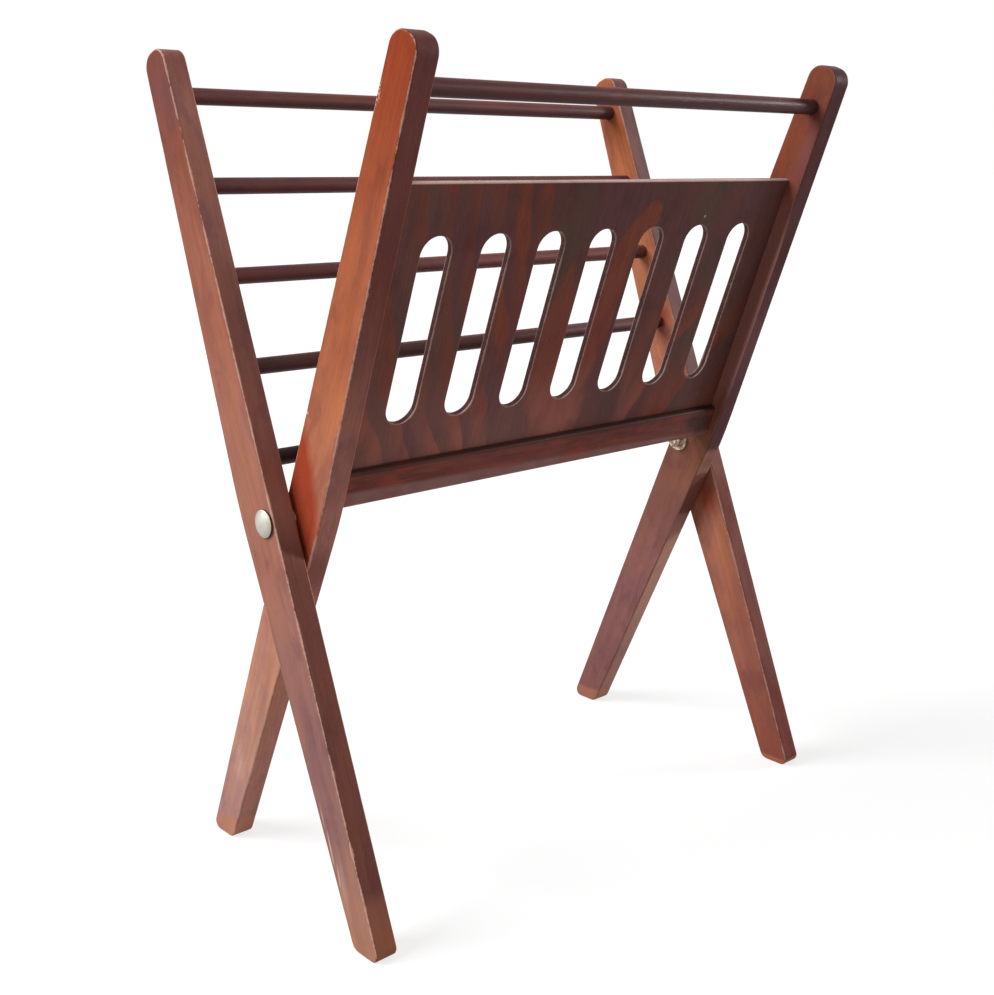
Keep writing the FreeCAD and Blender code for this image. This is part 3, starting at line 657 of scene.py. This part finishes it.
def veneer_figure(bench, place, x, along):
    """Figure of the peeled face veneer, 0 dark and 1 red: stripes at both ends and flames between."""
    sway = bench.noise(bench.mapped(place, scale=(1, 0.2, 0.45)), 17, 3, 0.5, 0.3)
    wide = bench.noise(bench.mapped(place, (0.4, 0.2, 0.1), scale=(1, 0.2, 0.7)), 20, 2)

    def stripes(slant, bend, count, start, waves):
        # Each stripe fades in from the left and ends sharply at its right side
        lean = bench.times(bench.scaled(along, bend, slant), along)
        level = bench.times(bench.plus(lean, x), count)
        part = bench.reckon("FRACT", bench.plus(level, bench.scaled(sway, waves, start)))
        return bench.times(bench.ease(part, 0.1, 0.9), bench.ease(part, 1.0, 0.93))

    left = bench.times(stripes(0.53, -0.82, 50.0, 0.0, 1.5), bench.ease(x, -0.036, -0.062))
    left = bench.times(left, bench.ease(wide, 0.36, 0.62, 0.25, 0.8))
    right = bench.times(stripes(-0.57, 0.0, 22.0, -1.0, 1.5), bench.ease(x, 0.050, 0.080))
    right = bench.times(right, bench.ease(along, 0.150, 0.095, 0.12, 0.8))
    figure = bench.larger(left, right)
    for centre, turn, reach, strength, soft in PANEL_FLAMES:
        flame = bench.group(placed_mark, place=place, centre=centre, turn=(0, turn, 0), reach=reach,
                            ragged=0.25, soft=soft)
        figure = bench.larger(figure, bench.times(flame["Mask"], strength))
    return figure


def veneer_stain(bench, finish, place, x, along):
    """Stain of the panel's face: a dark ground, lighter at the lower left and the ends, and its figure."""
    low = bench.times(bench.ease(along, 0.100, 0.045), bench.ease(x, 0.100, 0.050))
    flame = bench.blend(low, finish.panel_flame, LOW_FLAME)
    # The ground drifts between purple and greenish brown
    drift = bench.noise(bench.mapped(place, (0.7, 0.3, 0.5), scale=(1, 0.2, 0.6)), 26, 3, 0.55)
    ground = bench.blend(bench.ease(drift, 0.48, 0.62, 0.0, 0.6), finish.panel_stain, PURPLE_GROUND)
    ground = bench.blend(bench.ease(drift, 0.50, 0.36, 0.0, 0.6), ground, GREEN_GROUND)
    lightened = bench.times(bench.ease(along, 0.130, 0.045), bench.ease(x, 0.060, -0.020))
    lightened = bench.larger(bench.times(lightened, 0.62), bench.ease(x, -0.06, -0.15, 0.0, 0.25))
    lightened = bench.larger(lightened, bench.ease(x, 0.140, 0.160, 0.0, 0.40))
    stain = bench.blend(lightened, ground, LIGHTER_GROUND)
    return bench.blend(veneer_figure(bench, place, x, along), stain, flame)


def nearest_slot(bench, x, along):
    """Place to the side of the nearest slot's middle, and distance from that slot's edge."""
    beside = bench.reckon("WRAP", x, SLOT_PITCH / 2, -SLOT_PITCH / 2)
    past_end = bench.minus(bench.unsigned(bench.minus(along, SLOT_MIDDLE)), SLOT_STRAIGHT)
    reach = bench.away(beside, bench.larger(past_end, 0.0))
    from_slot = bench.unsigned(bench.minus(reach, SLOT_HALF))
    # There are no slots past the last ones, so every edge is far there
    past_last = bench.reckon("GREATER_THAN", bench.unsigned(x), SLOTS_END)
    return beside, bench.scaled(past_last, 0.05, from_slot)


def panel_plywood(finish):
    """Stained plywood with a flamed face veneer, rubbed along its slots, and pale along its top, partly
    wear and partly a painted highlight.
    """
    material, bench, shader, spot, _ = new_finish("stained_plywood")
    place, x, depth, along = panel_parts(bench, spot)
    grain = bench.group(stained_grain, place=place, stain=veneer_stain(bench, finish, place, x, along),
                        contrast=0.10, mottle=0.35)
    # Painted shade on the panel just above the rail
    shade_at_rail = bench.ease(along, 0.0402, 0.0385, 0.0, 0.7)
    shade = bench.blend(shade_at_rail, grain["Colour"], finish.grime)

    beside, from_slot = nearest_slot(bench, x, along)
    from_top = bench.minus(PANEL_TOP, along)
    from_cut = bench.smaller(from_slot, bench.larger(from_top, 0.0))
    from_face = bench.smaller(bench.minus(depth, PANEL_FRONT), bench.minus(PANEL_BACK, depth))
    arris = bench.larger(bench.larger(from_cut, from_face), 0.0)

    # Cut edges show the plies, with a dark line at each joint
    in_cut = bench.times(bench.ease(from_cut, 0.0012, 0.0004), bench.ease(from_face, 0.0002, 0.0006))
    joint = bench.ease(bench.reckon("WRAP", depth, PLY, 0.0), 0.0009, 0.0011)
    specks = bench.ease(bench.noise(place, 800, 2, 0.6), 0.56, 0.68)
    wall = bench.blend(bench.times(specks, 0.12), SLOT_WALL, finish.ply_edge)
    cut = bench.blend(bench.times(joint, 0.4), wall, finish.grime)
    shade = bench.blend(bench.times(in_cut, 0.9), shade, cut)

    # Rubbed most at the lower right of each slot; along the front of the top edge, wear with a painted
    # highlight
    wear = bench.group(edge_wear, distance=arris, reach=PANEL_WEAR_REACH, place=place, ragged=0.6)
    right_side = bench.ease(beside, 0.0, 0.006)
    lower = bench.ease(along, 0.092, 0.072, 0.30, 0.65)
    rubbed = bench.times(wear["Mask"], bench.scaled(right_side, lower, 0.12))
    at_top = bench.ease(from_top, 0.0011, 0.0004)
    top_edge = bench.times(at_top, bench.ease(depth, 0.0128, 0.0122, 0.15, 0.85))
    shade = bench.blend(bench.larger(rubbed, top_edge), shade, finish.ply_edge)
    chip = bench.group(placed_mark, place=place, centre=(0.090, 0.010, 0.185), turn=(0, 0.3, 0),
                       reach=(0.0013, 0.003, 0.0013), ragged=0.5, soft=0.8)
    shade = bench.blend(bench.times(chip["Mask"], 0.7), shade, finish.ply_edge)
    dirt = bench.group(settled_dirt, place=place, amount=0.35)
    shade = bench.blend(dirt["Mask"], shade, bench.tinted(shade, PANEL_DIRT))
    rough = bench.scaled(dirt["Dullness"], 0.18, 0.36)
    varnish(bench, shader, shade, grain["Height"], rough, finish.grain_depth, PANEL_GLOSS)
    return material


RAIL_RED = tone(146, 60, 52)
RAIL_RUB_AND_HIGHLIGHT = tone(142, 104, 100)
RAIL_WEAR_REACH = 0.0028
RAIL_DIRT = (0.42, 0.40, 0.44, 1)
RAIL_GLOSS = 0.06


def rail_wood(finish):
    """Dark red rail with its grain along X, dull in patches and pale along its lower edge, partly rubbed
    and partly a painted highlight.
    """
    material, bench, shader, spot, _ = new_finish("stained_rail")
    local, x, depth, along = panel_parts(bench, spot)
    place = bench.join(depth, along, x)
    grain = bench.group(stained_grain, place=place, stain=finish.rail_stain, contrast=0.55, mottle=0.4)
    shade = grain["Colour"]
    dirt = bench.group(settled_dirt, place=bench.mapped(place, scale=(1, 1, 0.35)), amount=0.75)
    shade = bench.blend(dirt["Mask"], shade, bench.tinted(shade, RAIL_DIRT))
    patches = bench.noise(bench.mapped(place, (0.2, 0.5, 0.3), scale=(1, 1, 0.5)), 70, 3, 0.55)
    shade = bench.blend(bench.ease(patches, 0.52, 0.64, 0.0, 0.45), shade, RAIL_RED)
    # The pale band along the lower edge, rubbing with a painted highlight, narrows to the right
    low_band = bench.ease(bench.scaled(x, 0.018, along), 0.0250, 0.0210)
    low_band = bench.times(low_band, bench.ease(patches, 0.42, 0.60, 0.85, 0.55))
    shade = bench.blend(low_band, shade, RAIL_RUB_AND_HIGHLIGHT)
    # Darker at the right end, and painted shade on the rail's top, where the panel enters the rail
    end = bench.group(placed_mark, place=local, centre=(0.152, 0.008, 0.029),
                      reach=(0.020, 0.02, 0.014), ragged=0.5, soft=0.7)
    shade = bench.blend(bench.times(end["Mask"], 0.75), shade, finish.grime)
    shade = bench.blend(bench.ease(along, 0.0358, 0.0376, 0.0, 0.75), shade, finish.grime)
    arris = bench.larger(bench.minus(depth, RAIL_FRONT), bench.minus(along, RAIL_LOW))
    wear = bench.group(edge_wear, distance=bench.larger(arris, 0.0), reach=RAIL_WEAR_REACH,
                       place=place, ragged=0.8)
    shade = bench.blend(bench.times(wear["Mask"], 0.3), shade, finish.bare_wood)
    rough = bench.scaled(dirt["Dullness"], 0.18, 0.38)
    varnish(bench, shader, shade, grain["Height"], rough, finish.grain_depth, RAIL_GLOSS)
    return material


YELLOWED_ZINC = tone(214, 196, 160)
TURNING_LINES = tone(150, 148, 140)
INNER_ZINC = tone(220, 196, 184)
TARNISH = tone(152, 124, 98)
HEAD_RIM = tone(80, 54, 44)
STEEL_RELIEF = 0.4
STEEL_RELIEF_DEPTH = 0.0003


def plated_steel(finish):
    """Dull zinc plate with fine turning lines, tarnish, thread on the shanks and a dark, dull rim round the
    heads.
    """
    material, bench, shader, spot, normal = new_finish("plated_steel")
    x, y, z = bench.split(bench.mapped(spot, PIVOT, kind="TEXTURE"))
    out = bench.away(y, z)
    turned = bench.join(bench.times(out, 2.0), bench.times(x, 0.3), 0.0)
    lines = bench.noise(turned, 1600, 2, 0.6)
    clouds = bench.noise(spot, 240, 3, 0.6)
    shade = bench.blend(bench.ease(clouds, 0.45, 0.7, 0.0, 0.5), finish.steel, YELLOWED_ZINC)
    shade = bench.blend(bench.ease(lines, 0.5, 0.75, 0.0, 0.3), shade, TURNING_LINES)
    facing_out = bench.unsigned(bench.split(normal)[0])
    on_head = bench.reckon("GREATER_THAN", bench.unsigned(x), HEAD_SEAT)
    # Tarnish rings the domed heads and dulls the nuts and washers inside the legs
    ring = bench.times(bench.ease(facing_out, 0.985, 0.885, 0.0, 0.4), on_head)
    inside = bench.minus(1.0, on_head)
    shade = bench.blend(bench.times(inside, 0.6), shade, INNER_ZINC)
    dulled = bench.times(bench.ease(clouds, 0.42, 0.64), inside)
    shade = bench.blend(bench.larger(ring, dulled), shade, TARNISH)
    rim = bench.times(bench.ease(facing_out, 0.55, 0.2), on_head)
    shade = bench.blend(rim, shade, HEAD_RIM)
    rough = bench.scaled(rim, 0.4, bench.scaled(clouds, 0.25, 0.42))
    round_bolt = bench.reckon("DIVIDE", bench.reckon("ARCTAN2", z, y), 2 * math.pi)
    winding = bench.reckon("PINGPONG", bench.scaled(x, THREAD_TURNS, round_bolt), 0.5)
    on_shank = bench.reckon("LESS_THAN", out, SHANK_RADIUS)
    height = bench.scaled(bench.times(winding, on_shank), 2.0, bench.times(lines, 0.12))
    bench.feed_all(shader, Base_Color=shade, Roughness=rough, Metallic=bench.minus(1.0, rim))
    raise_relief(bench, shader, height, STEEL_RELIEF, STEEL_RELIEF_DEPTH)
    return material


class RACK_OT_finish_legs(bpy.types.Operator):
    """Stain the four legs"""
    bl_idname = "rack.finish_legs"
    bl_label = "Finish the legs"

    def execute(self, context):
        finish = context.scene.rack_finish
        for name in LEG_TONES:
            put_on(leg_wood(name, finish), name)
        return {"FINISHED"}


class RACK_OT_finish_rungs(bpy.types.Operator):
    """Stain the dowel rungs of both frames"""
    bl_idname = "rack.finish_rungs"
    bl_label = "Finish the rungs"

    def execute(self, context):
        rungs = [name for name in NODES if "rung" in name]
        put_on(rung_wood(context.scene.rack_finish), *rungs)
        return {"FINISHED"}


class RACK_OT_finish_panel(bpy.types.Operator):
    """Stain the slotted plywood panel"""
    bl_idname = "rack.finish_panel"
    bl_label = "Finish the panel"

    def execute(self, context):
        put_on(panel_plywood(context.scene.rack_finish), "slotted_panel")
        return {"FINISHED"}


class RACK_OT_finish_rail(bpy.types.Operator):
    """Stain the bottom rail"""
    bl_idname = "rack.finish_rail"
    bl_label = "Finish the rail"

    def execute(self, context):
        put_on(rail_wood(context.scene.rack_finish), "bottom_rail")
        return {"FINISHED"}


class RACK_OT_finish_hardware(bpy.types.Operator):
    """Plate the bolts, washers and nuts"""
    bl_idname = "rack.finish_hardware"
    bl_label = "Finish the hardware"

    def execute(self, context):
        metal = [name for name in NODES if "pivot" in name or "washer" in name]
        put_on(plated_steel(context.scene.rack_finish), *metal)
        return {"FINISHED"}


FLOOR_HALF = 40.0
FLOOR_LEVEL = -0.0002
FLOOR_GLOW = 0.72

# Lamps: the side that the light comes from, and how wide the lamp looks, in degrees
KEY_SIDE, KEY_SPREAD = (-0.70, 0.42, 0.58), 40
FILL_SIDE, FILL_SPREAD = (0.85, -0.42, 0.20), 14

# The photograph's frame isn't centred on the camera's line of sight
CAMERA_SHIFT = (0.0245, -0.0201)
SENSOR_WIDTH = 36.0


def background_rays(bench):
    """1 for rays that see the background itself or its mirror image, 0 for rays that carry its light."""
    path = bench.place("ShaderNodeLightPath")
    seen = bench.larger(path.outputs["Is Camera Ray"], path.outputs["Is Glossy Ray"])
    return bench.larger(seen, path.outputs["Is Transmission Ray"])


def put_in_scene(name, data):
    """A new object with this data, in the scene."""
    piece = bpy.data.objects.new(name, data)
    bpy.context.scene.collection.objects.link(piece)
    return piece


def lay_floor(stage):
    """A wide pale floor under the rack, white where it is seen and grey where it lights the wood."""
    mesh = bpy.data.meshes.new("floor")
    sides = ((-1, -1), (1, -1), (1, 1), (-1, 1))
    corners = [(x * FLOOR_HALF, y * FLOOR_HALF, FLOOR_LEVEL) for x, y in sides]
    mesh.from_pydata(corners, [], [(0, 1, 2, 3)])
    floor = put_in_scene("floor", mesh)
    material = bpy.data.materials.new("pale_floor")
    bench = cleared_bench(material)
    paper = bench.place("ShaderNodeBsdfDiffuse")
    bench.feed(paper.inputs["Color"], (stage.floor_tone,) * 3 + (1.0,))
    glow = bench.place("ShaderNodeEmission")
    bench.feed(glow.inputs["Strength"], bench.times(background_rays(bench), FLOOR_GLOW))
    both = bench.place("ShaderNodeAddShader")
    bench.feed(both.inputs[0], paper.outputs[0])
    bench.feed(both.inputs[1], glow.outputs[0])
    bench.feed(bench.place("ShaderNodeOutputMaterial").inputs["Surface"], both.outputs[0])
    mesh.materials.append(material)


def light_room(stage):
    """A white room that gives an even, weaker light."""
    world = bpy.data.worlds.new("room")
    bench = cleared_bench(world)
    room = bench.place("ShaderNodeBackground")
    bench.feed(room.inputs["Strength"], bench.ease(background_rays(bench), 0.0, 1.0, stage.room_light, 1.0))
    bench.feed(room.inputs["Color"], (1.0, 1.0, 1.0, 1.0))
    bench.feed(bench.place("ShaderNodeOutputWorld").inputs["Surface"], room.outputs[0])
    bpy.context.scene.world = world


def hang_lamp(name, side, strength, spread):
    """A broad distant lamp that shines from one side."""
    lamp = bpy.data.lights.new(name, "SUN")
    lamp.energy = strength
    lamp.angle = math.radians(spread)
    holder = put_in_scene(name, lamp)
    holder.rotation_euler = Vector(side).to_track_quat("Z", "Y").to_euler()


def set_camera(stage):
    """A camera at the photograph's place and angle."""
    yaw, pitch, roll = stage.camera_yaw, stage.camera_pitch, stage.camera_roll
    ahead = Vector((math.sin(yaw) * math.cos(pitch), math.cos(yaw) * math.cos(pitch), math.sin(pitch)))
    level = Vector((math.cos(yaw), -math.sin(yaw), 0.0))
    upright = level.cross(ahead)
    right = level * math.cos(roll) + upright * math.sin(roll)
    up = upright * math.cos(roll) - level * math.sin(roll)
    data = bpy.data.cameras.new("camera")
    data.sensor_fit = "HORIZONTAL"
    data.sensor_width = SENSOR_WIDTH
    data.lens = stage.camera_lens
    data.shift_x, data.shift_y = CAMERA_SHIFT
    camera = put_in_scene("camera", data)
    turn = Matrix((right, up, -ahead)).transposed().to_4x4()
    camera.matrix_world = Matrix.Translation(stage.camera_place) @ turn
    bpy.context.scene.camera = camera


class RACK_OT_set_stage(bpy.types.Operator):
    """Lay the floor, light the room and set up the camera"""
    bl_idname = "rack.set_stage"
    bl_label = "Set the stage"

    def execute(self, context):
        stage = context.scene.rack_stage
        context.scene.view_settings.view_transform = "Standard"
        lay_floor(stage)
        light_room(stage)
        hang_lamp("key_lamp", KEY_SIDE, stage.key_light, KEY_SPREAD)
        hang_lamp("fill_lamp", FILL_SIDE, stage.fill_light, FILL_SPREAD)
        set_camera(stage)
        return {"FINISHED"}


STEPS = (RACK_OT_finish_legs, RACK_OT_finish_rungs, RACK_OT_finish_panel, RACK_OT_finish_rail,
         RACK_OT_finish_hardware, RACK_OT_set_stage)


class RACK_PT_finishes(bpy.types.Panel):
    """Finishes and stage of the magazine rack"""
    bl_idname = "RACK_PT_finishes"
    bl_label = "Magazine rack"
    bl_space_type = "VIEW_3D"
    bl_region_type = "UI"
    bl_category = "Magazine rack"

    def draw(self, context):
        for step in STEPS:
            self.layout.operator(step.bl_idname)
        finish = context.scene.rack_finish
        groups = [(finish.bl_rna.properties[name].name, getattr(finish, name)) for name in LEG_TONES]
        groups += [("Finishes", finish), ("Stage", context.scene.rack_stage)]
        for title, group in groups:
            box = self.layout.box()
            box.label(text=title)
            for key in group.__annotations__:
                if key not in LEG_TONES:
                    box.prop(group, key)


CLASSES = (LegStain, RackFinish, RackStage, *STEPS, RACK_PT_finishes)


def register():
    """Makes the rack's classes and settings known to Blender."""
    for cls in CLASSES:
        bpy.utils.register_class(cls)
    bpy.types.Scene.rack_finish = PointerProperty(type=RackFinish)
    bpy.types.Scene.rack_stage = PointerProperty(type=RackStage)
    for name, shades in LEG_TONES.items():
        stain = getattr(bpy.context.scene.rack_finish, name)
        for key, shade in zip(TONE_KEYS, shades):
            setattr(stain, key, tone(*shade))


def unregister():
    """Takes the rack's classes and settings out of Blender."""
    del bpy.types.Scene.rack_stage
    del bpy.types.Scene.rack_finish
    for cls in reversed(CLASSES):
        bpy.utils.unregister_class(cls)


def main():
    """Finishes the whole rack and sets its stage."""
    register()
    bpy.ops.rack.finish_legs()
    bpy.ops.rack.finish_rungs()
    bpy.ops.rack.finish_panel()
    bpy.ops.rack.finish_rail()
    bpy.ops.rack.finish_hardware()
    bpy.ops.rack.set_stage()


if __name__ == "__main__":
    main()
